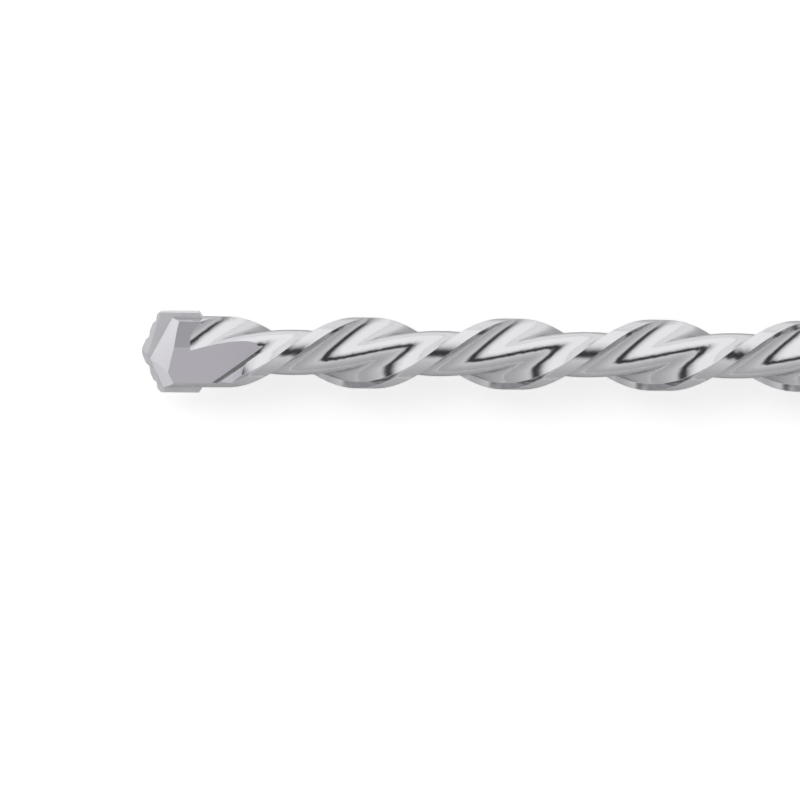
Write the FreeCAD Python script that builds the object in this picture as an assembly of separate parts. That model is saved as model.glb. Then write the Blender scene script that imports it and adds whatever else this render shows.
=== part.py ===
"""Hammer drill bit with a slotted shank: one forged and milled steel bar and
the carbide plate that is brazed into its head.

The bit lies along X with its tip at -X. The origin is under the middle of the
bit, on the surface that it lies on, with Z up. The shapes are first made as a
usual right-hand bit with its tip at x = 0 and its axis on X, and are then
mirrored, if LEFT_HAND says so, and moved into place.

Angles round the axis count from +Z by the right-hand rule about +X.
Distances called "from the rear" start at the shank's rear end.
"""
import FreeCAD, Part
import math
import os
from FreeCAD import Placement, Rotation, Vector

# The photographed bit has flutes that wind to the left; False gives its mirror image.
LEFT_HAND = True

# Overall
OVERALL_LENGTH = 166.0

# Shank
SHANK_D = 10.0
SHANK_LENGTH = 56.3
REAR_CHAMFER_R = 1.0
REAR_CHAMFER_H = 1.6
REAR_DOME_H = 0.65
REAR_DOME_MIDDLE = 0.3
REAR_FLAT_D = 2.8

# Collar between the shank and the flutes; it stands proud of the lands by a step
COLLAR_STEP = 0.05
COLLAR_LENGTH = 0.8
FLARE_LENGTH = 2.5

# Two drive grooves, open at the rear
DRIVE_ANGLE = 45.0
DRIVE_DEPTH = 1.5
DRIVE_FLOOR_W = 2.6
DRIVE_LENGTH = 26.5
DRIVE_WALL_SLOPE = 0.59

# Two locking pockets, closed at both ends
POCKET_ANGLE = -45.0
POCKET_DEPTH = 1.1
POCKET_FLOOR_W = 3.8
POCKET_START = 6.0
POCKET_END = 24.9
POCKET_WALL_SLOPE = 1.65

# Flutes: two starts; each half of the section runs from the sharp edge of a
# land through a wide hollow, over a round rib, through a second hollow and up a
# straight flank to the foot of the next land's back wall; the hollows' arcs
# touch the rib's arc without a corner
BODY_D = 10.8
LEAD = 44.6
EDGE_ANGLE_AT_TIP = -15.9
LAND_ANGLE = 23.0
NEAR_HOLLOW_R = 3.45
RIB_R = 1.95
RIB_CENTRE_R = 1.5
RIB_ANGLE = -80.0
FAR_HOLLOW_CENTRE_R = 5.55
FAR_HOLLOW_ANGLE = -125.1
WALL_FOOT_D = 8.8
WALL_FOOT_ANGLE = -160.0
RUN_OUT_LENGTH = 6.5
RUN_OUT_FOOT_D = 5.6

# Head: a full round with two flats, slotted for the plate; behind its round
# part two shoulders wind on beside the flutes until they meet the lands; each
# stands proud of the lands by a small step, and its root goes on at the level of
# the flats until the flank of the flute rises out of it
HEAD_STEP = 0.03
HEAD_LENGTH = 7.4
SHOULDER_STEP = 0.01
SHOULDER_END = 14.0
SHOULDER_NEAR_ANGLE = -80.0
SHOULDER_FAR_ANGLE = -165.0
SHOULDER_FALL = 0.15
ROOT_END = 16.6
ROOT_NEAR_ANGLE = -108.0
ROOT_FAR_ANGLE = -162.0
ACROSS_FLATS = 5.8
FLAT_ANGLE = -4.5
FLAT_LENGTH = 17.96
FLAT_END_SLOPE = 1.4
RELIEF_FLAT_Y = 0.6
RELIEF_FLAT_LENGTH = 9.6

# Carbide plate
PLATE_D = 12.45
PLATE_T = 2.3
PLATE_LENGTH = 9.2
PLATE_ANGLE = -8.5
PLATE_REAR_CHAMFER_X = 0.55
PLATE_REAR_CHAMFER_R = 0.9
BRAZE_GAP = 0.05

# Point of the plate
POINT_ANGLE = 130.0
LIP_RELIEF_ANGLE = 28.0
LIP_OFFSET_INNER = 0.46
LIP_OFFSET_OUTER = 0.85
RAKE_BEVEL_SLOPE = 1.7
CORNER_CHAMFER = 0.45
CORNER_CHAMFER_SLOPE = 1.1
NOTCH_DEPTH = 0.4
NOTCH_STARTS = (1.95, 4.45)
NOTCH_RISE = 0.4
NOTCH_LENGTH = 1.45

# Front faces of the two steel jaws beside the plate
ROOF_SETBACK = 0.76
ROOF_FALL = 1.03
GASH_SETBACK_INNER = 1.64
GASH_SLOPE_INNER = 0.545
GASH_SETBACK_OUTER = 4.7
GASH_SLOPE_OUTER = 0.37
GASH_OVERRUN = 0.35

# Derived sizes
SHANK_R = SHANK_D / 2
BODY_R = BODY_D / 2
COLLAR_R = BODY_R + COLLAR_STEP
SHOULDER_R = BODY_R + SHOULDER_STEP
HEAD_R = BODY_R + HEAD_STEP
DRIVE_FLOOR_R = SHANK_R - DRIVE_DEPTH
POCKET_FLOOR_R = SHANK_R - POCKET_DEPTH
FLAT_R = ACROSS_FLATS / 2
PLATE_R = PLATE_D / 2
HALF_PLATE = PLATE_T / 2
POINT_SLOPE = 1 / math.tan(math.radians(POINT_ANGLE / 2))
RELIEF_SLOPE = math.tan(math.radians(LIP_RELIEF_ANGLE))
TURN_PER_MM = 360.0 / LEAD
SHANK_FRONT = OVERALL_LENGTH - SHANK_LENGTH
COLLAR_REAR = SHANK_FRONT - FLARE_LENGTH
COLLAR_FRONT = COLLAR_REAR - COLLAR_LENGTH
FLUTE_END = (COLLAR_FRONT + COLLAR_REAR) / 2

# The relief flat meets the head's flat in a crease at this distance from the axis
FLAT_TILT = math.radians(FLAT_ANGLE)
RELIEF_FLAT_R = (FLAT_R - RELIEF_FLAT_Y * math.sin(FLAT_TILT)) / math.cos(FLAT_TILT)

# How far cutting tools reach past what they cut: clear of the bit on every
# side, and just past the shank's surface
CLEAR = 2 * max(2 * COLLAR_R, PLATE_D, SHANK_D)
OVERCUT = 1.0
AXIS = Vector(1, 0, 0)
CENTRE = Vector(0, 0, 0)


def polar(x, radius, degrees):
    """Point at a radius and an angle round the axis."""
    angle = math.radians(degrees)
    return Vector(x, -radius * math.sin(angle), radius * math.cos(angle))


def turned(shape, degrees):
    """Copy of a shape turned about the bit's axis."""
    copy = shape.copy()
    copy.rotate(CENTRE, AXIS, degrees)
    return copy


def twice(tool):
    """A tool and its copy on the opposite side of the axis."""
    return [tool, turned(tool, 180)]


def arc(start, middle, end):
    return Part.Arc(start, middle, end).toShape()


def polygon(points):
    return Part.Face(Part.makePolygon(points + points[:1]))


def half_space(point, normal):
    """Large block that fills the side of a plane its normal points to."""
    size = 2 * CLEAR
    block = Part.makeBox(size, size, size, Vector(-size / 2, -size / 2, 0))
    block.Placement = Placement(point, Rotation(Vector(0, 0, 1), normal))
    return block


def revolved(outline):
    """Solid of revolution about the axis; the outline holds (x, radius) edges."""
    return Part.Face(Part.Wire(outline)).revolve(CENTRE, AXIS, 360)


def twisted(section, start, end):
    """Sweep of a section along the axis that turns with the flutes' lead."""
    length = end - start
    spine = Part.Wire([Part.makeLine(Vector(start, 0, 0), Vector(end, 0, 0))])
    guide = Part.makeHelix(LEAD, length, BODY_R)
    guide.Placement = Placement(Vector(start, 0, 0), Rotation(Vector(0, 0, 1), AXIS))
    sweep = Part.BRepOffsetAPI.MakePipeShell(spine)
    sweep.setAuxiliarySpine(Part.Wire(guide.Edges), True, 0)
    sweep.add(section)
    sweep.build()
    sweep.makeSolid()
    return sweep.shape()


def edge_angle(x):
    """Angle of the first land's sharp edge at a place along the bit."""
    return EDGE_ANGLE_AT_TIP + x * TURN_PER_MM


def toward(start, goal, distance):
    """Point at a distance from the start in the direction of the goal."""
    return start + (goal - start) * (distance / start.distanceToPoint(goal))


def arc_about(centre, start, end):
    """Arc of less than half a turn about a centre."""
    middle = toward(centre, (start + end) * 0.5, centre.distanceToPoint(start))
    return arc(start, middle, end)


def near_hollow_centre(land_edge, rib_centre):
    """Centre of the hollow through a land's sharp edge that touches the rib's arc."""
    between = land_edge.distanceToPoint(rib_centre)
    touching = NEAR_HOLLOW_R + RIB_R
    along = (between ** 2 + NEAR_HOLLOW_R ** 2 - touching ** 2) / (2 * between)
    across = math.sqrt(NEAR_HOLLOW_R ** 2 - along ** 2)
    outward = AXIS.cross(rib_centre - land_edge).normalize()
    return toward(land_edge, rib_centre, along) + outward * across


def flank_start(hollow_centre, hollow_r, wall_foot):
    """Point where the straight flank from a wall's foot touches the hollow's arc."""
    to_foot = wall_foot - hollow_centre
    opening = math.degrees(math.acos(hollow_r / to_foot.Length))
    return hollow_centre + Rotation(AXIS, -opening).multVec(to_foot.normalize()) * hollow_r


def flute_section(x):
    """Closed section of the fluted bar: two lands and what lies between them."""
    edges = []
    for half in (0, 180):
        base = edge_angle(x) + half
        land_edge = polar(x, BODY_R, base)
        rib = polar(x, RIB_CENTRE_R, base + RIB_ANGLE)
        near = near_hollow_centre(land_edge, rib)
        far = polar(x, FAR_HOLLOW_CENTRE_R, base + FAR_HOLLOW_ANGLE)
        wall_foot = polar(x, WALL_FOOT_D / 2, base + WALL_FOOT_ANGLE)
        land_start = polar(x, BODY_R, base - 180 + LAND_ANGLE)
        land_end = polar(x, BODY_R, base - 180)
        rib_near = toward(rib, near, RIB_R)
        rib_far = toward(rib, far, RIB_R)
        flank = flank_start(far, far.distanceToPoint(rib) - RIB_R, wall_foot)
        edges.append(arc_about(near, land_edge, rib_near))
        edges.append(arc_about(rib, rib_near, rib_far))
        edges.append(arc_about(far, rib_far, flank))
        edges.append(Part.makeLine(flank, wall_foot))
        edges.append(Part.makeLine(wall_foot, land_start))
        edges.append(arc_about(Vector(x, 0, 0), land_start, land_end))
    return Part.Wire(edges)


def flat_cutter():
    """Block beyond one of the head's flats; its slanting end leaves the land its root."""
    reach = CLEAR / 2
    slant = FLAT_END_SLOPE * reach
    outline = polygon([
        Vector(-reach, -reach, FLAT_R),
        Vector(FLAT_LENGTH + slant, -reach, FLAT_R),
        Vector(FLAT_LENGTH - slant, reach, FLAT_R),
        Vector(-reach, reach, FLAT_R),
    ])
    return turned(outline.extrude(Vector(0, 0, reach)), FLAT_ANGLE)


def sector(x, near, far, outer):
    """Section of a shoulder, between two angles from the sharp edge of a land."""
    near += edge_angle(x)
    far += edge_angle(x)
    inner = FLAT_R / 2
    return Part.Wire([
        Part.makeLine(polar(x, inner, near), polar(x, outer, near)),
        arc(polar(x, outer, near), polar(x, outer, (near + far) / 2), polar(x, outer, far)),
        Part.makeLine(polar(x, outer, far), polar(x, inner, far)),
        Part.makeLine(polar(x, inner, far), polar(x, inner, near)),
    ])


def shoulder():
    """Twisted sector behind the head that carries its round outside on to a land.

    Its top falls to the level of the flats where it ends.
    """
    start = HEAD_LENGTH / 2
    section = sector(start, SHOULDER_NEAR_ANGLE, SHOULDER_FAR_ANGLE, SHOULDER_R)
    above = half_space(Vector(SHOULDER_END, 0, FLAT_R), Vector(SHOULDER_FALL, 0, 1))
    return twisted(section, start, SHOULDER_END).cut(turned(above, FLAT_ANGLE))


def shoulder_root():
    """Lower part of a shoulder that runs on from its end into the flute's flank."""
    section = sector(HEAD_LENGTH, ROOT_NEAR_ANGLE, ROOT_FAR_ANGLE, BODY_R - SHOULDER_STEP)
    above = half_space(Vector(0, 0, FLAT_R), Vector(0, 0, 1))
    return twisted(section, HEAD_LENGTH, ROOT_END).cut(turned(above, FLAT_ANGLE))


def jaw_roof():
    """Sloping block ahead of a jaw's trailing part, behind the plate's relief."""
    point = Vector(ROOF_SETBACK, 0, HALF_PLATE)
    along = Vector(POINT_SLOPE, 1, 0)
    down = Vector(ROOF_FALL, 0, 1)
    normal = along.cross(down)
    if normal.x > 0:
        normal = -normal
    return half_space(point, normal).common(
        Part.makeBox(2 * CLEAR, 2 * CLEAR, CLEAR, Vector(-CLEAR, -CLEAR, HALF_PLATE)))


def jaw_gash():
    """Twisted block ahead of a jaw's leading part; it opens the plate's cutting face."""
    wires = []
    run = FLAT_R - HALF_PLATE
    for share in (-GASH_OVERRUN, 1 + GASH_OVERRUN):
        setback = GASH_SETBACK_INNER + (GASH_SETBACK_OUTER - GASH_SETBACK_INNER) * share
        slope = GASH_SLOPE_INNER + (GASH_SLOPE_OUTER - GASH_SLOPE_INNER) * share
        z = HALF_PLATE + run * share
        reach = CLEAR / 2
        wires.append(Part.makePolygon([
            Vector(-reach, reach, z),
            Vector(-reach, -reach, z),
            Vector(setback + slope * reach, -reach, z),
            Vector(setback - slope * reach, reach, z),
            Vector(-reach, reach, z),
        ]))
    return Part.makeLoft(wires, True, True)


def plate_slot():
    """Slot across the head, a braze gap wider than the plate on each side."""
    width = PLATE_T + 2 * BRAZE_GAP
    return Part.makeBox(PLATE_LENGTH + CLEAR, CLEAR, width, Vector(-CLEAR, -CLEAR / 2, -width / 2))


def relief_flat():
    """Shallow flat ahead of a cutting face, between the jaw's front and its flute."""
    return Part.makeBox(RELIEF_FLAT_LENGTH, CLEAR, CLEAR,
                        Vector(0, -RELIEF_FLAT_Y - CLEAR, RELIEF_FLAT_R))


def collar_and_shank():
    """Turned rear part: run-out, collar, flare, round shank and domed rear end."""
    foot_r = RUN_OUT_FOOT_D / 2
    run_out_start = COLLAR_FRONT - RUN_OUT_LENGTH
    depth = COLLAR_R - foot_r
    run_out_r = (RUN_OUT_LENGTH ** 2 + depth ** 2) / (2 * depth)
    middle_x = run_out_start + RUN_OUT_LENGTH / 2
    middle_r = foot_r + run_out_r - math.sqrt(run_out_r ** 2 - (RUN_OUT_LENGTH / 2) ** 2)
    step = COLLAR_R - SHANK_R
    flare_r = (FLARE_LENGTH ** 2 + step ** 2) / (2 * step)
    flare_x = SHANK_FRONT - FLARE_LENGTH / 2
    flare_mid_r = SHANK_R + flare_r - math.sqrt(flare_r ** 2 - (FLARE_LENGTH / 2) ** 2)
    dome_x = OVERALL_LENGTH - REAR_DOME_H
    chamfer_x = dome_x - REAR_CHAMFER_H
    flat_r = REAR_FLAT_D / 2
    dome_r = SHANK_R - REAR_CHAMFER_R
    dome_mid = Vector(OVERALL_LENGTH - REAR_DOME_MIDDLE * REAR_DOME_H, 0, (flat_r + dome_r) / 2)
    points = [
        Vector(run_out_start, 0, 0),
        Vector(run_out_start, 0, foot_r),
        Vector(COLLAR_FRONT, 0, COLLAR_R),
        Vector(COLLAR_REAR, 0, COLLAR_R),
        Vector(SHANK_FRONT, 0, SHANK_R),
        Vector(chamfer_x, 0, SHANK_R),
        Vector(dome_x, 0, dome_r),
        Vector(OVERALL_LENGTH, 0, flat_r),
        Vector(OVERALL_LENGTH, 0, 0),
    ]
    return revolved([
        Part.makeLine(points[0], points[1]),
        arc(points[1], Vector(middle_x, 0, middle_r), points[2]),
        Part.makeLine(points[2], points[3]),
        arc(points[3], Vector(flare_x, 0, flare_mid_r), points[4]),
        Part.makeLine(points[4], points[5]),
        Part.makeLine(points[5], points[6]),
        arc(points[6], dome_mid, points[7]),
        Part.makeLine(points[7], points[8]),
        Part.makeLine(points[8], points[0]),
    ])


def drive_groove():
    """Groove with sloping walls, open at the rear and scooped at its front end."""
    half = DRIVE_FLOOR_W / 2
    top = SHANK_R + OVERCUT
    spread = (top - DRIVE_FLOOR_R) * DRIVE_WALL_SLOPE
    scoop_x = OVERALL_LENGTH - DRIVE_LENGTH
    profile = polygon([
        Vector(scoop_x, -half, DRIVE_FLOOR_R),
        Vector(scoop_x, half, DRIVE_FLOOR_R),
        Vector(scoop_x, half + spread, top),
        Vector(scoop_x, -half - spread, top),
    ])
    channel = profile.extrude(Vector(DRIVE_LENGTH + OVERCUT, 0, 0))
    scoop = Part.makeCone(half, half + spread, top - DRIVE_FLOOR_R, Vector(scoop_x, 0, DRIVE_FLOOR_R))
    return turned(channel.fuse(scoop), DRIVE_ANGLE)


def stadium(start, end, half, z):
    """Closed outline with round ends, flat in a plane above the axis."""
    return Part.Wire([
        Part.makeLine(Vector(start + half, -half, z), Vector(end - half, -half, z)),
        arc(Vector(end - half, -half, z), Vector(end, 0, z), Vector(end - half, half, z)),
        Part.makeLine(Vector(end - half, half, z), Vector(start + half, half, z)),
        arc(Vector(start + half, half, z), Vector(start, 0, z), Vector(start + half, -half, z)),
    ])


def locking_pocket():
    """Long pocket with round ends and walls that slope all the way round."""
    half = POCKET_FLOOR_W / 2
    top = SHANK_R + OVERCUT
    spread = (top - POCKET_FLOOR_R) * POCKET_WALL_SLOPE
    start = OVERALL_LENGTH - POCKET_END
    end = OVERALL_LENGTH - POCKET_START
    floor = stadium(start, end, half, POCKET_FLOOR_R)
    mouth = stadium(start - spread, end + spread, half + spread, top)
    return turned(Part.makeLoft([floor, mouth], True, True), POCKET_ANGLE)


def steel_body():
    """The whole steel bar, from the slotted head to the domed end of the shank."""
    head = Part.makeCylinder(HEAD_R, HEAD_LENGTH, CENTRE, AXIS)
    bar = twisted(flute_section(0), 0, FLUTE_END)
    body = bar.fuse([head, collar_and_shank()] + twice(shoulder()) + twice(shoulder_root()))
    tools = twice(flat_cutter())
    tools.append(turned(plate_slot(), PLATE_ANGLE))
    tools += twice(relief_flat())
    tools += twice(turned(jaw_roof(), PLATE_ANGLE))
    tools += twice(turned(jaw_gash(), PLATE_ANGLE))
    tools += twice(drive_groove())
    tools += twice(locking_pocket())
    return body.cut(tools).removeSplitter()


def lip_flank():
    """Block ahead of one lip's relief face, a plane through the chisel edge."""
    along = Vector(-POINT_SLOPE, 1, 0)
    back = Vector(-RELIEF_SLOPE, 0, 1)
    normal = along.cross(back)
    if normal.x > 0:
        normal = -normal
    return half_space(CENTRE, normal)


def rake_bevel():
    """Block in front of one lip's cutting face, from the chisel edge to the corner."""
    inner_u = RELIEF_SLOPE * LIP_OFFSET_INNER / POINT_SLOPE
    inner = Vector(0, -inner_u, LIP_OFFSET_INNER)
    outer_x = POINT_SLOPE * PLATE_R - RELIEF_SLOPE * LIP_OFFSET_OUTER
    outer = Vector(outer_x, -PLATE_R, LIP_OFFSET_OUTER)
    lip = outer - inner
    fall = Vector(RAKE_BEVEL_SLOPE, 0, 1)
    normal = lip.cross(fall)
    if normal.x > 0:
        normal = -normal
    block = half_space(inner, normal)
    return block.common(Part.makeBox(2 * CLEAR, CLEAR, CLEAR, Vector(-CLEAR, -CLEAR, 0)))


def flank_notch(start):
    """Saw-tooth groove across one lip's relief face."""
    front = -PLATE_R
    rise_end = start + NOTCH_RISE
    stop = start + NOTCH_LENGTH

    def surface(u, depth):
        return POINT_SLOPE * u + depth

    shift = Vector(-RELIEF_SLOPE * PLATE_T, 0, PLATE_T)
    face = polygon([
        Vector(surface(start, 0), -start, 0),
        Vector(surface(rise_end, NOTCH_DEPTH), -rise_end, 0),
        Vector(surface(stop, 0), -stop, 0),
        Vector(front, -stop, 0),
        Vector(front, -start, 0),
    ])
    face.translate(shift)
    return face.extrude(shift * -2)


def corner_chamfer():
    """Small bevel at the outer corner of a lip."""
    corner_x = POINT_SLOPE * PLATE_R - RELIEF_SLOPE * HALF_PLATE
    point = Vector(corner_x, -PLATE_R + CORNER_CHAMFER, HALF_PLATE)
    return half_space(point, Vector(-1, -CORNER_CHAMFER_SLOPE, 0)).common(
        Part.makeBox(2 * CLEAR, CLEAR, 2 * CLEAR, Vector(-CLEAR, -CLEAR, -CLEAR)))


def rear_corner():
    """Bevel at an outer rear corner of the plate."""
    point = Vector(PLATE_LENGTH, -PLATE_R + PLATE_REAR_CHAMFER_R, 0)
    return half_space(point, Vector(PLATE_REAR_CHAMFER_R, -PLATE_REAR_CHAMFER_X, 0))


def carbide_tip():
    """Carbide plate: round-ground ends, two relieved and notched lips, chisel edge."""
    plate = Part.makeBox(2 * PLATE_LENGTH, PLATE_D, PLATE_T, Vector(-PLATE_LENGTH, -PLATE_R, -HALF_PLATE))
    round_bar = Part.makeCylinder(PLATE_R, 2 * PLATE_LENGTH, Vector(-PLATE_LENGTH, 0, 0), AXIS)
    plate = plate.common(round_bar)
    tools = twice(lip_flank())
    tools += twice(rake_bevel())
    tools += twice(corner_chamfer())
    tools += twice(rear_corner())
    for start in NOTCH_STARTS:
        tools += twice(flank_notch(start))
    return turned(plate.cut(tools), PLATE_ANGLE)


def placed(shape):
    """Shape in the part's own frame, in the hand that LEFT_HAND asks for."""
    result = shape.copy()
    if LEFT_HAND:
        result = result.mirror(CENTRE, Vector(0, 1, 0))
    result.translate(Vector(-OVERALL_LENGTH / 2, 0, COLLAR_R))
    return result


def main():
    os.makedirs("parts", exist_ok=True)
    nodes = {"steel_body": steel_body(), "carbide_tip": carbide_tip()}
    for name, shape in nodes.items():
        solid = placed(shape)
        solid.exportStep("parts/" + name + ".step")
        print(name, "solids", len(solid.Solids), "valid", solid.isValid(), "volume", round(solid.Volume, 2))


main()
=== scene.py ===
"""Looks and studio for a hammer drill bit: a bright steel bar with twisted flutes and a
slotted shank, and the hard-metal plate in its head.

The frame is loaded first. Everything is in metres, with the bit along X, its tip at -X, and
the floor at z = 0. Each piece has an operator of its own, and so has the studio.
"""
import math

import bpy
from bpy.props import FloatProperty, FloatVectorProperty, PointerProperty
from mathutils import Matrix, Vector


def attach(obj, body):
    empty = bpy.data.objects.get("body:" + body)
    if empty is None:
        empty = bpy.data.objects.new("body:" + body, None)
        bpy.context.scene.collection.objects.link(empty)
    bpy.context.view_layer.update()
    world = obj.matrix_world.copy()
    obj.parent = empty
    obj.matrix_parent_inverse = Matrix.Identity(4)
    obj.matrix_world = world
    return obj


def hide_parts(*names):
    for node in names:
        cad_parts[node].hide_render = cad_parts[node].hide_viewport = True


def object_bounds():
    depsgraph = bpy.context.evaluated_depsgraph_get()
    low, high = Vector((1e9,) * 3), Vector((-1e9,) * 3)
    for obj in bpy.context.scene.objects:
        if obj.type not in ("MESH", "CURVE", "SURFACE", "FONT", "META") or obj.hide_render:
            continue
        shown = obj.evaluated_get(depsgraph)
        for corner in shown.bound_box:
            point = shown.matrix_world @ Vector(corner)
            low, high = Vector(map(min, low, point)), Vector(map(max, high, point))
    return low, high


bl_info = {
    "name": "Hammer Drill Bit",
    "version": (1, 0, 0),
    "blender": (4, 5, 0),
    "location": "View3D > Sidebar > Drill Bit",
    "description": "Dresses a hammer drill bit in steel and hard metal and sets up its studio",
    "category": "Object",
}

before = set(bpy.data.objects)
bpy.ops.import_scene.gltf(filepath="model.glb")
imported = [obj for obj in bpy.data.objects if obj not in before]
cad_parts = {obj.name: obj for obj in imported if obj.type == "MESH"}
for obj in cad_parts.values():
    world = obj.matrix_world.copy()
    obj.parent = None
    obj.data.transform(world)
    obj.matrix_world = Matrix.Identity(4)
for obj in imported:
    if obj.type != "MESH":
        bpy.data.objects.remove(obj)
CAD_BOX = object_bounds()

MM = 0.001
WHITE = (1.0, 1.0, 1.0, 1.0)
BODY = "root"
STEEL_NODE = "steel_body"
CARBIDE_NODE = "carbide_tip"

# The bit's axis runs along X at this height, and its flutes advance this far in a turn
AXIS_Z = 5.45 * MM
LEAD = 44.6 * MM

# Places along the bit: its tip, the end of the head's round part, how far back its small relief
# flats can lie, and the collar's front, behind which the bar is turned
TIP_X = CAD_BOX[0].x
HEAD_END_X = TIP_X + 7.4 * MM
RELIEF_END_X = TIP_X + 10.4 * MM
COLLAR_X = CAD_BOX[1].x - 59.6 * MM
COLLAR_BLEND = 1 * MM

# The way that the head's flats face, counted from straight up towards +Y, and how far they lie
# from the axis. Each ends at the smooth floor of a flute, on a slanting line that crosses the
# middle at this place along the bit
FLAT_TURN = math.radians(-4.5)
FLAT_HEIGHT = 2.9 * MM
FLAT_END_X = TIP_X + 17.9 * MM
FLAT_END_SLOPE = 1.4
FLAT_WAY = Vector((0.0, math.sin(FLAT_TURN), math.cos(FLAT_TURN)))

# A bright line runs along the flat's end: half the width of its core, and of all of it. The
# flute's floor past it is dull again, which fades out between two distances from the line
LINE_HALF = 0.5 * MM
LINE_EDGE = 0.65 * MM
FLOOR_FADE_START = 2.4 * MM
FLOOR_FADE_END = 3.2 * MM

# How well a dull face points the flats' way, or straight up, and how steeply a ground front
# face points to the tip; each pair is where its dullness starts and where it is full
FLAT_MATCH = (0.985, 0.995)
FLOOR_MATCH = (0.972, 0.982)
RELIEF_MATCH = (0.998, 0.9995)
FRONT_MATCH = (-0.12, -0.25)
FRONT_BLEND = 0.2 * MM

# Brightness of the dull faces next to the flats, as shares of the milled colour: painted light
# on the flute floors past the flats and on the ground front, painted shade on the relief faces
PAST_FLAT_PAINTED_LIGHT = 1.12
RELIEF_PAINTED_SHADE = 0.88
FRONT_PAINTED_LIGHT = 1.14

# Angle between faces above which an edge stays sharp
SHARP_ANGLE = math.radians(24)

# A face lies in a flat if its normal and its height agree this well; the edges of the flats
# stay sharp above the small angle
PLANE_MATCH = 0.99998
PLANE_GAP = 0.01 * MM
CREASE_ANGLE = math.radians(1.0)

# Vertices of the loose triangles that lie closer than this are one
MERGE_DISTANCE = 0.0005 * MM

# Depth of the fine marks on both metals, and the rays that round an edge for the eye
MARK_DEPTH = 0.02 * MM
EDGE_SAMPLES = 6

# Tool marks on the steel: the share of a length along them that their pattern counts, in the
# flutes and on the shank, how much they change the roughness, and how much of their depth is
# the grain's
STREAK_STRETCH = 0.06
RING_STRETCH = 0.03
MARK_ROUGHNESS = 0.12
STEEL_GRAIN_SHARE = 0.3

# Clouds on the steel: how close they lie, per metre, how much they change the roughness, and
# the brightness of the dark ones
STEEL_CLOUDS = 120.0
CLOUD_ROUGHNESS = 0.06
STEEL_DARK_SHARE = 0.9

# Grinding marks on the plate: their direction, their stretch, how close they lie, per metre,
# how much the grain changes the roughness, and how much of their depth is the grain's
GRIND_TURN = (0.0, 0.0, math.radians(62))
GRIND_STRETCH = (1.0, 0.08, 0.3)
GRIND_DENSITY = 9000.0
GRAIN_ROUGHNESS = 0.25
PLATE_GRAIN_SHARE = 0.5

# Clouds on the plate: how close they lie, per metre, and the brightness of the dark ones
PLATE_CLOUDS = 350.0
PLATE_DARK_SHARE = 0.82

# Level of the light by its direction round the bit, in degrees from straight up towards +Y, and
# its level from where the bit's ends point, with how straight that is when it starts and ends
LIGHT_LEVELS = (
    (-180, 0.50), (-90, 0.58), (-60, 0.64), (-45, 0.72), (-30, 0.82), (-18, 0.94),
    (-12, 0.60), (-8, 0.08), (2, 0.04), (9, 0.08), (15, 0.50), (25, 1.05), (42, 1.32),
    (105, 1.32), (125, 1.05), (150, 0.50), (180, 0.50))
BRIGHTEST = 1.32
END_LEVEL = (0.6, 0.6, 0.6, 1.0)
END_BLEND = (0.86, 0.99)

# How far from the bit the painted shade on the floor that the metal shows fades out, on the
# side of the light and at the ends
SHADE_START = 7 * MM
LIT_SIDE_END = 16 * MM
ENDS_END = 200 * MM

# How far from the bit, on the dim side, the floor stops showing lighter in the metal: past it
# the metal shows painted shade
DIM_SIDE_START = 100 * MM
DIM_SIDE_END = 300 * MM

# Sizes of the round floor and of the low backdrop at its rim, and how many corners they have
FLOOR_R = 3.0
BACKDROP_H = 0.36
FLOOR_CORNERS = 96

# The photograph's frame, its scale at the bit, where the tip stands in it, in pixels, and how
# far the bit slopes in it
FRAME_PX = 800
PX_PER_M = 6586.0
TIP_PX = (142.0, 351.2)
SLOPE = math.radians(0.45)

# How near and how far the camera sees
CLIP_START = 0.01
CLIP_END = 20.0

# Where a mix node has its two inputs and its result, by the kind of what it mixes
MIX_SOCKETS = {"FLOAT": (2, 3, 0), "RGBA": (6, 7, 2)}


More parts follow.
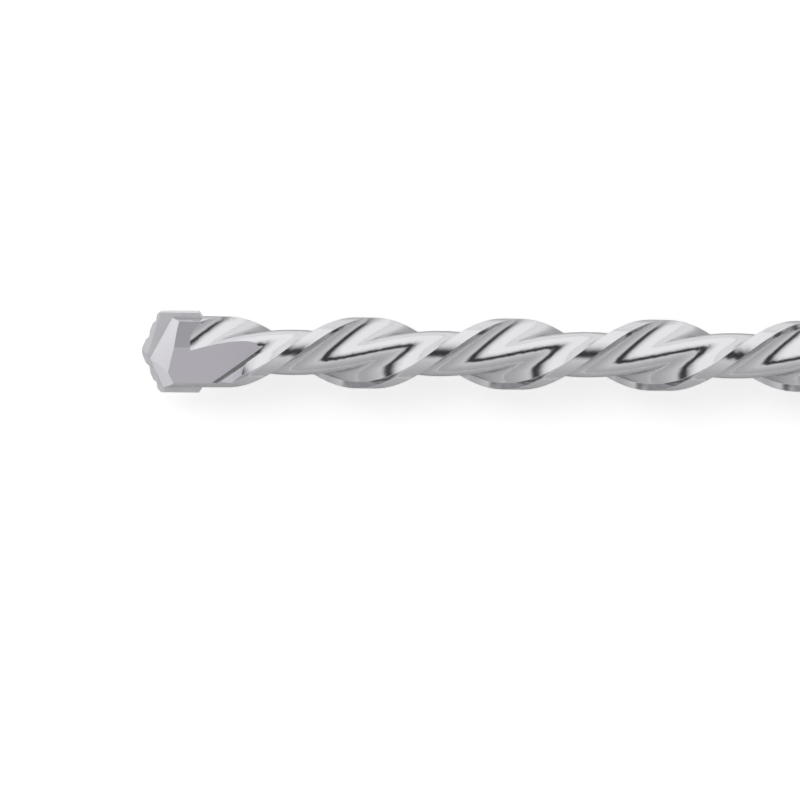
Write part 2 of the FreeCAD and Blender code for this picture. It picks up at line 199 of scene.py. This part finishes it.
class Tree:
    """Short forms for building a node tree."""

    def __init__(self, tree):
        self.tree = tree
        self.tree.nodes.clear()

    def node(self, kind, inputs=None, **values):
        """New node with its settings and inputs."""
        made = self.tree.nodes.new(kind)
        for name, value in values.items():
            setattr(made, name, value)
        for name, value in (inputs or {}).items():
            self.put(made.inputs[name], value)
        return made

    def put(self, socket, value):
        """Link a socket to an input, or set the input's own value."""
        if isinstance(value, bpy.types.NodeSocket):
            self.tree.links.new(value, socket)
        else:
            socket.default_value = value

    def math(self, operation, *values):
        """Result of an operation on sockets or numbers."""
        made = self.tree.nodes.new("ShaderNodeMath")
        made.operation = operation
        for index, value in enumerate(values):
            self.put(made.inputs[index], value)
        return made.outputs[0]

    def step(self, value, low, high):
        """Smooth rise from 0 at one value to 1 at another, which may be the lower one."""
        made = self.node("ShaderNodeMapRange", {
            "Value": value, "From Min": low, "From Max": high,
            "To Min": 0.0, "To Max": 1.0}, interpolation_type="SMOOTHSTEP")
        return made.outputs["Result"]

    def ramp(self, value, stops):
        """Grey level by a value, straight between the stops."""
        made = self.node("ShaderNodeValToRGB", {"Fac": value})
        elements = made.color_ramp.elements
        while len(elements) > 1:
            elements.remove(elements[-1])
        for index, (position, level) in enumerate(stops):
            element = elements[0] if index == 0 else elements.new(position)
            element.position = position
            element.color = (level, level, level, 1.0)
        return made.outputs["Color"]

    def noise(self, vector, scale, detail, roughness):
        """Noise pattern at a place."""
        made = self.node("ShaderNodeTexNoise", {
            "Vector": vector, "Scale": scale, "Detail": detail, "Roughness": roughness})
        return made.outputs["Fac"]

    def split(self, vector):
        """X, Y and Z of a vector."""
        return self.node("ShaderNodeSeparateXYZ", {"Vector": vector}).outputs

    def vector(self, x, y, z):
        """Vector of three values."""
        return self.node("ShaderNodeCombineXYZ", {"X": x, "Y": y, "Z": z}).outputs[0]

    def mix(self, factor, low, high, kind="FLOAT"):
        """Value or colour between two others."""
        low_index, high_index, result_index = MIX_SOCKETS[kind]
        made = self.node("ShaderNodeMix", data_type=kind)
        self.put(made.inputs[0], factor)
        self.put(made.inputs[low_index], low)
        self.put(made.inputs[high_index], high)
        return made.outputs[result_index]

    def mix_colour(self, factor, low, high):
        """Colour between two others."""
        return self.mix(factor, low, high, "RGBA")

    def place(self):
        """Place on the piece, in its own frame."""
        return self.node("ShaderNodeTexCoord").outputs["Object"]

    def varied(self, value, pattern, share):
        """Value that a pattern moves up and down by half a share."""
        shift = self.math("MULTIPLY", self.math("SUBTRACT", pattern, 0.5), share)
        return self.math("ADD", value, shift)

    def surface(self, shader, kind="ShaderNodeOutputMaterial"):
        """Use a shader as the result of the tree."""
        output = self.node(kind)
        self.put(output.inputs["Surface"], shader.outputs[0])


def new_material(name):
    """New material and its empty node tree."""
    material = bpy.data.materials.new(name)
    material.use_nodes = True
    return material, Tree(material.node_tree)


def shaded(colour, share=1.0):
    """Colour with its brightness changed by a share."""
    return tuple(channel * share for channel in colour) + (1.0,)


def metal_surface(tree, settings, colour, rough, lines, grain, grain_share):
    """Bare metal with fine lines and grain and slightly broken edges."""
    height = tree.math("ADD", tree.math("MULTIPLY", lines, 1 - grain_share),
                       tree.math("MULTIPLY", grain, grain_share))
    edges = tree.node("ShaderNodeBevel", {"Radius": settings.edge_radius}, samples=EDGE_SAMPLES)
    bump = tree.node("ShaderNodeBump", {
        "Strength": settings.relief, "Distance": MARK_DEPTH, "Height": height,
        "Normal": edges.outputs[0]})
    tree.surface(tree.node("ShaderNodeBsdfPrincipled", {
        "Base Color": colour, "Metallic": 1.0, "Roughness": rough, "Normal": bump.outputs[0]}))


def flute_streaks(tree, x, y, up, density):
    """Marks along the flutes, in a frame that turns with them."""
    radius = tree.math("SQRT", tree.math(
        "ADD", tree.math("MULTIPLY", y, y), tree.math("MULTIPLY", up, up)))
    angle = tree.math("ARCTAN2", y, up)
    turn = tree.math("MULTIPLY", x, 2 * math.pi / LEAD)
    own_angle = tree.math("ADD", angle, turn)
    place = tree.vector(
        tree.math("MULTIPLY", x, STREAK_STRETCH),
        tree.math("MULTIPLY", radius, tree.math("SINE", own_angle)),
        tree.math("MULTIPLY", radius, tree.math("COSINE", own_angle)))
    return tree.noise(place, density, detail=3.0, roughness=0.6)


def turning_lines(tree, x, y, up, density):
    """Rings round the shank, whose pattern hardly varies but along it."""
    place = tree.vector(
        x, tree.math("MULTIPLY", y, RING_STRETCH), tree.math("MULTIPLY", up, RING_STRETCH))
    return tree.noise(place, density, detail=2.0, roughness=0.7)


def head_faces(tree, x, y, up):
    """Masks of the head's dull faces: flats, flute floors past them, relief, ground front."""
    normal = tree.node("ShaderNodeNewGeometry").outputs["Normal"]
    normal_x, normal_y, normal_z = tree.split(normal)
    facing = tree.math("ABSOLUTE", tree.math(
        "ADD", tree.math("MULTIPLY", normal_y, FLAT_WAY.y),
        tree.math("MULTIPLY", normal_z, FLAT_WAY.z)))
    own_y = tree.math("MULTIPLY", y, tree.math("SIGN", up))
    end_x = tree.math("ADD", FLAT_END_X, tree.math("MULTIPLY", own_y, FLAT_END_SLOPE))
    to_end = tree.math("SUBTRACT", end_x, x)
    before = tree.step(to_end, LINE_HALF, LINE_EDGE)
    past = tree.math("MULTIPLY", tree.step(to_end, -LINE_HALF, -LINE_EDGE),
                     tree.step(to_end, -FLOOR_FADE_END, -FLOOR_FADE_START))
    on_flat = tree.math("MULTIPLY", tree.step(facing, *FLAT_MATCH), before)
    past_flat = tree.math("MULTIPLY", tree.step(facing, *FLOOR_MATCH), past)
    upright = tree.math("ABSOLUTE", normal_z)
    on_relief = tree.math("MULTIPLY", tree.step(upright, *RELIEF_MATCH), before)
    in_head = tree.step(x, HEAD_END_X, HEAD_END_X - FRONT_BLEND)
    on_front = tree.math("MULTIPLY", tree.step(normal_x, *FRONT_MATCH), in_head)
    return on_flat, past_flat, on_relief, on_front


def steel_material(settings):
    """Bright steel: streaks in the flutes, rings on the shank and dull faces on the head."""
    material, tree = new_material("Bright Steel")
    place = tree.place()
    x, y, z = tree.split(place)
    up = tree.math("SUBTRACT", z, AXIS_Z)

    on_shank = tree.step(x, COLLAR_X, COLLAR_X + COLLAR_BLEND)
    lines = tree.mix(on_shank, flute_streaks(tree, x, y, up, settings.streak_density),
                     turning_lines(tree, x, y, up, settings.ring_density))
    clouds = tree.noise(place, STEEL_CLOUDS, detail=3.0, roughness=0.55)
    grain = tree.noise(place, settings.grain_density, detail=2.0, roughness=0.6)
    on_flat, past_flat, on_relief, on_front = head_faces(tree, x, y, up)

    rough = tree.mix(on_shank, settings.roughness, settings.shank_roughness)
    rough = tree.varied(rough, lines, MARK_ROUGHNESS)
    rough = tree.varied(rough, clouds, CLOUD_ROUGHNESS)
    on_milled = tree.math("MAXIMUM", on_flat, past_flat)
    rough = tree.mix(on_milled, rough, settings.flat_roughness)
    rough = tree.mix(on_front, rough, settings.front_roughness)

    colour = tree.mix_colour(
        clouds, shaded(settings.colour, STEEL_DARK_SHARE), shaded(settings.colour))
    # The milled colour, with painted light on the flute floors past the flats and on the ground
    # front, and painted shade on the relief faces
    for mask, share in (
            (on_flat, 1.0), (past_flat, PAST_FLAT_PAINTED_LIGHT), (on_relief, RELIEF_PAINTED_SHADE),
            (on_front, FRONT_PAINTED_LIGHT)):
        colour = tree.mix_colour(mask, colour, shaded(settings.milled_colour, share))

    metal_surface(tree, settings, colour, rough, lines, grain, STEEL_GRAIN_SHARE)
    return material


def carbide_material(settings):
    """Hard metal: grainy and ground on the slant."""
    material, tree = new_material("Ground Hard Metal")
    place = tree.place()
    clouds = tree.noise(place, PLATE_CLOUDS, detail=3.0, roughness=0.6)
    grain = tree.noise(place, settings.grain_density, detail=3.0, roughness=0.7)
    stretched = tree.node("ShaderNodeMapping", {
        "Vector": place, "Rotation": GRIND_TURN, "Scale": GRIND_STRETCH}).outputs[0]
    lines = tree.noise(stretched, GRIND_DENSITY, detail=2.0, roughness=0.6)

    colour = tree.mix_colour(
        clouds, shaded(settings.colour, PLATE_DARK_SHARE), shaded(settings.colour))
    rough = tree.varied(settings.roughness, grain, GRAIN_ROUGHNESS)
    metal_surface(tree, settings, colour, rough, lines, grain, PLATE_GRAIN_SHARE)
    return material


def deselect():
    """Leave edit mode and select nothing."""
    if bpy.context.object and bpy.context.object.mode != "OBJECT":
        bpy.ops.object.mode_set(mode="OBJECT")
    bpy.ops.object.select_all(action="DESELECT")


def merged_copy(node, name):
    """Copy of a CAD node with its loose triangles joined and its round faces smooth."""
    deselect()
    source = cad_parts[node]
    piece = bpy.data.objects.new(name, source.data.copy())
    bpy.context.scene.collection.objects.link(piece)
    piece.data.name = name
    piece.data.materials.clear()
    piece.select_set(True)
    bpy.context.view_layer.objects.active = piece
    bpy.ops.object.mode_set(mode="EDIT")
    bpy.ops.mesh.select_all(action="SELECT")
    bpy.ops.mesh.customdata_custom_splitnormals_clear()
    bpy.ops.mesh.remove_doubles(threshold=MERGE_DISTANCE)
    bpy.ops.object.mode_set(mode="OBJECT")
    bpy.ops.object.shade_smooth_by_angle(angle=SHARP_ANGLE, keep_sharp_edges=False)
    piece.select_set(False)
    return piece


def milled_faces(mesh):
    """Numbers of the faces that lie in one of the head's flats or in their relief."""
    axis = Vector((0.0, 0.0, AXIS_Z))
    found = set()
    for face in mesh.polygons:
        level = abs((face.center - axis).dot(FLAT_WAY))
        level_fits = abs(level - FLAT_HEIGHT) < PLANE_GAP
        on_flat = level_fits and abs(face.normal.dot(FLAT_WAY)) > PLANE_MATCH
        on_relief = abs(face.normal.z) > PLANE_MATCH and face.center.x < RELIEF_END_X
        if on_flat or on_relief:
            found.add(face.index)
    return found


def sharpen_flats(mesh):
    """Keep every edge of the milled faces crisp, also where the flutes run into them softly."""
    milled = milled_faces(mesh)
    beside = {}
    for face in mesh.polygons:
        for key in face.edge_keys:
            beside.setdefault(key, []).append(face)
    for edge in mesh.edges:
        faces = beside.get(edge.key, [])
        if len(faces) == 2 and (faces[0].index in milled or faces[1].index in milled):
            if faces[0].normal.angle(faces[1].normal) > CREASE_ANGLE:
                edge.use_edge_sharp = True


def dress(node, name, material):
    """Put a dressed copy in the place of a CAD node."""
    piece = merged_copy(node, name)
    if node == STEEL_NODE:
        sharpen_flats(piece.data)
    piece.data.materials.append(material)
    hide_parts(node)
    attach(piece, BODY)


def studio_light():
    """Soft light whose level only depends on its direction round the bit."""
    world = bpy.data.worlds.new("Studio")
    world.use_nodes = True
    bpy.context.scene.world = world
    tree = Tree(world.node_tree)
    x, y, z = tree.split(tree.node("ShaderNodeTexCoord").outputs["Generated"])
    angle = tree.math("ARCTAN2", y, z)
    share = tree.math("ADD", tree.math("MULTIPLY", angle, 0.5 / math.pi), 0.5)
    stops = [((degrees + 180) / 360, level / BRIGHTEST) for degrees, level in LIGHT_LEVELS]
    level = tree.ramp(share, stops)
    ends = tree.step(tree.math("ABSOLUTE", x), *END_BLEND)
    level = tree.mix_colour(ends, level, END_LEVEL)
    background = tree.node("ShaderNodeBackground", {"Color": level, "Strength": BRIGHTEST})
    tree.surface(background, "ShaderNodeOutputWorld")


def pale_material(name, colour, lift):
    """Pale surface that shows lighter to the eye, and in the metal, than it is lit, with
    painted shade in the metal under the bit and far off on the dim side.
    """
    material, tree = new_material(name)
    matt = tree.node("ShaderNodeBsdfDiffuse", {"Color": shaded(colour)})
    # Painted shade in the metal: it shows no lighter under the bit, in its shade, nor far off
    # on the dim side
    x, y, _ = tree.split(tree.place())
    lit_side = tree.step(y, SHADE_START, LIT_SIDE_END)
    past_end = tree.math("ADD", tree.math("ABSOLUTE", x), TIP_X)
    ends = tree.step(past_end, SHADE_START, ENDS_END)
    near_side = tree.step(y, -DIM_SIDE_END, -DIM_SIDE_START)
    floor_without_painted_shade = tree.math("MULTIPLY", tree.math("MAXIMUM", lit_side, ends), near_side)
    path = tree.node("ShaderNodeLightPath").outputs
    mirrored = tree.math("MULTIPLY", path["Is Glossy Ray"], floor_without_painted_shade)
    seen = tree.math("ADD", path["Is Camera Ray"], mirrored)
    seen = tree.math("MINIMUM", tree.math("ADD", seen, path["Is Transmission Ray"]), 1.0)
    glow = tree.node("ShaderNodeEmission", {
        "Color": WHITE, "Strength": tree.math("MULTIPLY", seen, lift)})
    both = tree.node("ShaderNodeAddShader")
    tree.put(both.inputs[0], matt.outputs[0])
    tree.put(both.inputs[1], glow.outputs[0])
    tree.surface(both)
    return material


def add_floor(settings):
    """Round pale floor."""
    deselect()
    bpy.ops.mesh.primitive_circle_add(
        vertices=FLOOR_CORNERS, radius=FLOOR_R, fill_type="NGON", location=(0, 0, 0))
    floor = bpy.context.object
    floor.name = "floor"
    floor.data.materials.append(
        pale_material("Pale Floor", settings.floor_colour, settings.floor_lift))


def add_backdrop(settings):
    """Low wall at the floor's rim."""
    deselect()
    bpy.ops.mesh.primitive_cylinder_add(
        vertices=FLOOR_CORNERS, radius=FLOOR_R, depth=BACKDROP_H, end_fill_type="NOTHING",
        location=(0, 0, BACKDROP_H / 2))
    wall = bpy.context.object
    wall.name = "backdrop"
    wall.data.materials.append(
        pale_material("Pale Backdrop", settings.backdrop_colour, settings.backdrop_lift))


def add_camera(settings):
    """Camera straight above the bit that sees it in the photograph's frame."""
    data = bpy.data.cameras.new("Camera")
    camera = bpy.data.objects.new("Camera", data)
    bpy.context.scene.collection.objects.link(camera)
    data.lens = settings.lens
    data.clip_start = CLIP_START
    data.clip_end = CLIP_END
    right = Vector((math.cos(SLOPE), math.sin(SLOPE), 0.0))
    up = Vector((-math.sin(SLOPE), math.cos(SLOPE), 0.0))
    tip = Vector((TIP_X, 0.0, AXIS_Z))
    across = (TIP_PX[0] - FRAME_PX / 2) / PX_PER_M
    above = (FRAME_PX / 2 - TIP_PX[1]) / PX_PER_M
    distance = FRAME_PX * settings.lens / data.sensor_width / PX_PER_M
    camera.location = tip - right * across - up * above + Vector((0.0, 0.0, distance))
    camera.rotation_euler = (0.0, 0.0, SLOPE)
    bpy.context.scene.camera = camera


class SteelSettings(bpy.types.PropertyGroup):
    """Colours and finishes of the steel bar"""
    colour: FloatVectorProperty(
        name="Steel Colour", description="Colour of the bright steel", subtype="COLOR",
        size=3, min=0.0, max=1.0, default=(0.62, 0.62, 0.64))
    roughness: FloatProperty(
        name="Steel Roughness", description="How matt the steel is", subtype="FACTOR",
        min=0.0, max=1.0, default=0.15)
    shank_roughness: FloatProperty(
        name="Shank Roughness", description="How matt the shank's round outside is",
        subtype="FACTOR", min=0.0, max=1.0, default=0.24)
    flat_roughness: FloatProperty(
        name="Flat Roughness", description="How matt the flats on the head are",
        subtype="FACTOR", min=0.0, max=1.0, default=1.0)
    front_roughness: FloatProperty(
        name="Front Roughness", description="How matt the ground front of the head is",
        subtype="FACTOR", min=0.0, max=1.0, default=0.6)
    milled_colour: FloatVectorProperty(
        name="Milled Colour", description="Colour of the milled and ground faces of the head",
        subtype="COLOR", size=3, min=0.0, max=1.0, default=(0.76, 0.75, 0.78))
    relief: FloatProperty(
        name="Steel Relief", description="Depth of the fine tool marks", subtype="FACTOR",
        min=0.0, max=1.0, default=0.15)
    streak_density: FloatProperty(
        name="Flute Streaks", description="How close the marks along the flutes lie, per metre",
        min=0.0, default=2500.0)
    ring_density: FloatProperty(
        name="Turning Lines", description="How close the rings on the shank lie, per metre",
        min=0.0, default=6000.0)
    grain_density: FloatProperty(
        name="Steel Grain", description="How fine the steel's grain is, per metre",
        min=0.0, default=9000.0)
    edge_radius: FloatProperty(
        name="Steel Edge Radius", description="How far the edges are broken", unit="LENGTH",
        min=0.0, default=0.08 * MM)


class CarbideSettings(bpy.types.PropertyGroup):
    """Colour and finish of the hard-metal plate"""
    colour: FloatVectorProperty(
        name="Plate Colour", description="Colour of the hard metal", subtype="COLOR",
        size=3, min=0.0, max=1.0, default=(0.82, 0.81, 0.84))
    roughness: FloatProperty(
        name="Plate Roughness", description="How matt the hard metal is", subtype="FACTOR",
        min=0.0, max=1.0, default=0.6)
    relief: FloatProperty(
        name="Plate Relief", description="Depth of the grinding marks", subtype="FACTOR",
        min=0.0, max=1.0, default=0.3)
    grain_density: FloatProperty(
        name="Plate Grain", description="How fine the hard metal's grain is, per metre",
        min=0.0, default=5000.0)
    edge_radius: FloatProperty(
        name="Plate Edge Radius", description="How far the plate's edges are broken",
        unit="LENGTH", min=0.0, default=0.05 * MM)


class StudioSettings(bpy.types.PropertyGroup):
    """Colours of the studio, and its lens"""
    floor_colour: FloatVectorProperty(
        name="Floor Colour", description="Colour of the floor", subtype="COLOR",
        size=3, min=0.0, max=1.0, default=(0.86, 0.86, 0.86))
    floor_lift: FloatProperty(
        name="Floor Lift", description="What the floor shows besides the light on it",
        subtype="FACTOR", min=0.0, max=1.0, default=0.5)
    backdrop_colour: FloatVectorProperty(
        name="Backdrop Colour", description="Colour of the low backdrop round the floor",
        subtype="COLOR", size=3, min=0.0, max=1.0, default=(0.86, 0.86, 0.86))
    backdrop_lift: FloatProperty(
        name="Backdrop Lift", description="What the backdrop shows besides the light on it",
        subtype="FACTOR", min=0.0, max=1.0, default=0.55)
    lens: FloatProperty(
        name="Lens", description="Focal length of the camera in millimetres", unit="CAMERA",
        min=1.0, default=250.0)


class DRILLBIT_OT_steel_body(bpy.types.Operator):
    """Dress the steel bar: head, flutes, collar and slotted shank"""
    bl_idname = "drillbit.steel_body"
    bl_label = "Steel Bar"

    def execute(self, context):
        settings = context.scene.bit_steel
        dress(STEEL_NODE, "steel_bar", steel_material(settings))
        return {"FINISHED"}


class DRILLBIT_OT_carbide_tip(bpy.types.Operator):
    """Dress the hard-metal plate in the bit's head"""
    bl_idname = "drillbit.carbide_tip"
    bl_label = "Cutting Plate"

    def execute(self, context):
        settings = context.scene.bit_carbide
        dress(CARBIDE_NODE, "cutting_plate", carbide_material(settings))
        return {"FINISHED"}


class DRILLBIT_OT_studio(bpy.types.Operator):
    """Set up the pale floor, the soft light and the camera"""
    bl_idname = "drillbit.studio"
    bl_label = "Studio"

    def execute(self, context):
        settings = context.scene.bit_studio
        context.scene.view_settings.view_transform = "Standard"
        studio_light()
        add_floor(settings)
        add_backdrop(settings)
        add_camera(settings)
        return {"FINISHED"}


class DRILLBIT_PT_panel(bpy.types.Panel):
    """Sizes, colours and steps of the drill bit"""
    bl_label = "Drill Bit"
    bl_idname = "DRILLBIT_PT_panel"
    bl_space_type = "VIEW_3D"
    bl_region_type = "UI"
    bl_category = "Drill Bit"

    def draw(self, context):
        layout = self.layout
        for group, operator in (
                (context.scene.bit_steel, "drillbit.steel_body"),
                (context.scene.bit_carbide, "drillbit.carbide_tip"),
                (context.scene.bit_studio, "drillbit.studio")):
            box = layout.box()
            for name in group.bl_rna.properties.keys():
                if name not in ("rna_type", "name"):
                    box.prop(group, name)
            box.operator(operator)


CLASSES = (
    SteelSettings,
    CarbideSettings,
    StudioSettings,
    DRILLBIT_OT_steel_body,
    DRILLBIT_OT_carbide_tip,
    DRILLBIT_OT_studio,
    DRILLBIT_PT_panel,
)


def register():
    for cls in CLASSES:
        bpy.utils.register_class(cls)
    bpy.types.Scene.bit_steel = PointerProperty(type=SteelSettings)
    bpy.types.Scene.bit_carbide = PointerProperty(type=CarbideSettings)
    bpy.types.Scene.bit_studio = PointerProperty(type=StudioSettings)


def unregister():
    del bpy.types.Scene.bit_studio
    del bpy.types.Scene.bit_carbide
    del bpy.types.Scene.bit_steel
    for cls in reversed(CLASSES):
        bpy.utils.unregister_class(cls)


def main():
    """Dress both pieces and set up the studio."""
    register()
    bpy.ops.drillbit.steel_body()
    bpy.ops.drillbit.carbide_tip()
    bpy.ops.drillbit.studio()


if __name__ == "__main__":
    main()
